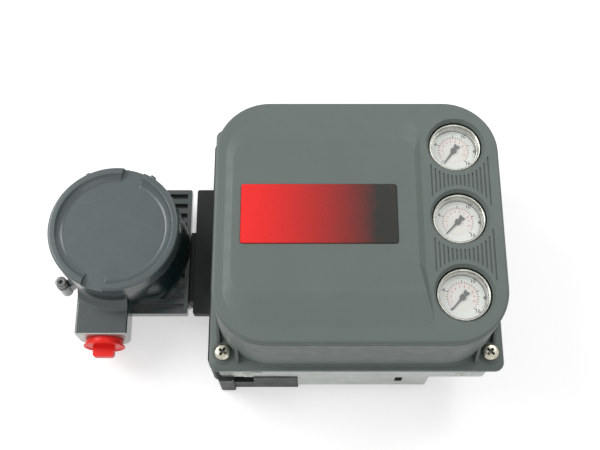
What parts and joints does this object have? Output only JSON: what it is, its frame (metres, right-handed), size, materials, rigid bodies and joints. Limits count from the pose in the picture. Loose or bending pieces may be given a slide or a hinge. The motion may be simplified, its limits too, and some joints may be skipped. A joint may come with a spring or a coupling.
{
  "type": "valve positioner",
  "caption": "Pneumatic valve positioner: grey box under a domed cover with pressure gauges, and a round terminal box with a screw cap and a plugged conduit entry.",
  "frame": {"origin": "middle of the flat back face that the instrument rests on, under the centre of the cover's flange", "axes": "+Z out of the front cover, +Y towards the top of the instrument, +X from the terminal box towards the pressure ports"},
  "size_m": [0.2614, 0.151, 0.1017],
  "materials": {
    "cover_grey": "satin moulding, fine grain",
    "paint_grey": "semi-gloss paint on a casting",
    "paint_dark": "satin dark paint on a casting",
    "bare_casting": "bare casting, satin",
    "label_red": "gloss, red fading to black",
    "nickel": "nickel plate",
    "dial_white": "matt",
    "lens_clear": "clear, polished",
    "pointer_black": "matt",
    "brass": "plain",
    "rubber_black": "matt",
    "plug_red": "satin moulding",
    "plastic_black": "matt",
    "board_green": "solder resist"
  },
  "bodies": {
    "housing": {"housing": "paint_dark", "vent_screen": "plastic_black", "module_base": "bare_casting", "module_base_screw_1": "nickel", "module_base_screw_2": "nickel", "module_base_screw_3": "nickel", "cover_seal": "rubber_black", "gauge_case_top": "nickel", "gauge_dial_top": "dial_white", "gauge_lens_top": "lens_clear", "gauge_case_middle": "nickel", "gauge_dial_middle": "dial_white", "gauge_lens_middle": "lens_clear", "gauge_case_bottom": "nickel", "gauge_dial_bottom": "dial_white", "gauge_lens_bottom": "lens_clear", "pressure_converter": "bare_casting", "converter_shroud": "plastic_black", "converter_screw_1": "nickel", "converter_screw_2": "nickel", "converter_screw_3": "nickel", "converter_screw_4": "nickel", "relay": "bare_casting", "relay_screw_1": "nickel", "relay_screw_2": "nickel", "relay_screw_3": "nickel", "electronics_tray": "plastic_black", "circuit_board": "board_green", "electronics_screw_1": "nickel", "electronics_screw_2": "nickel", "electronics_screw_3": "nickel", "terminal_box": "paint_grey", "terminal_box_screw_1": "nickel", "terminal_box_screw_2": "nickel", "terminal_box_screw_3": "nickel", "cap_lock_screw": "nickel", "ground_washer": "nickel", "ground_screw_outer": "nickel", "ground_screw_inner": "brass", "terminal_board": "plastic_black", "terminal_screw_1": "brass", "terminal_screw_2": "brass", "terminal_board_screw_1": "brass", "terminal_board_screw_2": "brass"},
    "cover": {"cover": "cover_grey", "label_plate": "label_red"},
    "cap_carriage": {"cap_seal": "rubber_black"},
    "cap": {"terminal_box_cap": "paint_grey"},
    "conduit_plug": {"conduit_plug": "plug_red"},
    "relay_disc": {"relay_adjustment_disc": "plastic_black"},
    "pointer_top": {"gauge_pointer_top": "pointer_black"},
    "pointer_middle": {"gauge_pointer_middle": "pointer_black"},
    "pointer_bottom": {"gauge_pointer_bottom": "pointer_black"},
    "screw_top_left": {"cover_screw_top_left": "nickel"},
    "screw_top_right": {"cover_screw_top_right": "nickel"},
    "screw_bottom_left": {"cover_screw_bottom_left": "nickel"},
    "screw_bottom_right": {"cover_screw_bottom_right": "nickel"}
  },
  "joints": [
    {"name": "cover_lift", "type": "slide", "parent": "housing", "child": "cover", "axis": [0, 0, 1], "range_m": [0, 0.06]},
    {"name": "pointer_top_turn", "type": "hinge", "parent": "housing", "child": "pointer_top", "pos_m": [0.05485, 0.04165, 0.0911], "axis": [0, 0, -1], "range_deg": [0, 270]},
    {"name": "pointer_middle_turn", "type": "hinge", "parent": "housing", "child": "pointer_middle", "pos_m": [0.05485, -0.0013, 0.0911], "axis": [0, 0, -1], "range_deg": [0, 270]},
    {"name": "pointer_bottom_turn", "type": "hinge", "parent": "housing", "child": "pointer_bottom", "pos_m": [0.05485, -0.04425, 0.0911], "axis": [0, 0, -1], "range_deg": [0, 270]},
    {"name": "screw_top_left_turn", "type": "hinge", "parent": "cover", "child": "screw_top_left", "pos_m": [-0.075, 0.065, 0.0527], "axis": [0, 0, 1], "continuous": true},
    {"name": "screw_top_right_turn", "type": "hinge", "parent": "cover", "child": "screw_top_right", "pos_m": [0.075, 0.065, 0.0527], "axis": [0, 0, 1], "continuous": true},
    {"name": "screw_bottom_left_turn", "type": "hinge", "parent": "cover", "child": "screw_bottom_left", "pos_m": [-0.075, -0.065, 0.0527], "axis": [0, 0, 1], "continuous": true},
    {"name": "screw_bottom_right_turn", "type": "hinge", "parent": "cover", "child": "screw_bottom_right", "pos_m": [0.075, -0.065, 0.0527], "axis": [0, 0, 1], "continuous": true},
    {"name": "cap_lift", "type": "slide", "parent": "housing", "child": "cap_carriage", "axis": [0, 0, 1], "range_m": [0, 0.0105]},
    {"name": "cap_turn", "type": "hinge", "parent": "cap_carriage", "child": "cap", "pos_m": [-0.1402, 0.0068, 0.0503], "axis": [0, 0, 1], "range_deg": [0, 2520]},
    {"name": "plug_pull", "type": "slide", "parent": "housing", "child": "conduit_plug", "axis": [0, -1, 0], "range_m": [0, 0.016]},
    {"name": "relay_disc_turn", "type": "hinge", "parent": "housing", "child": "relay_disc", "pos_m": [0.0045, -0.0506, 0.0451], "axis": [0, 0, 1], "continuous": true}
  ],
  "couplings": [
    {"joint": "cap_lift", "follows": "cap_turn", "m_per_rad": 0.00023873}
  ]
}
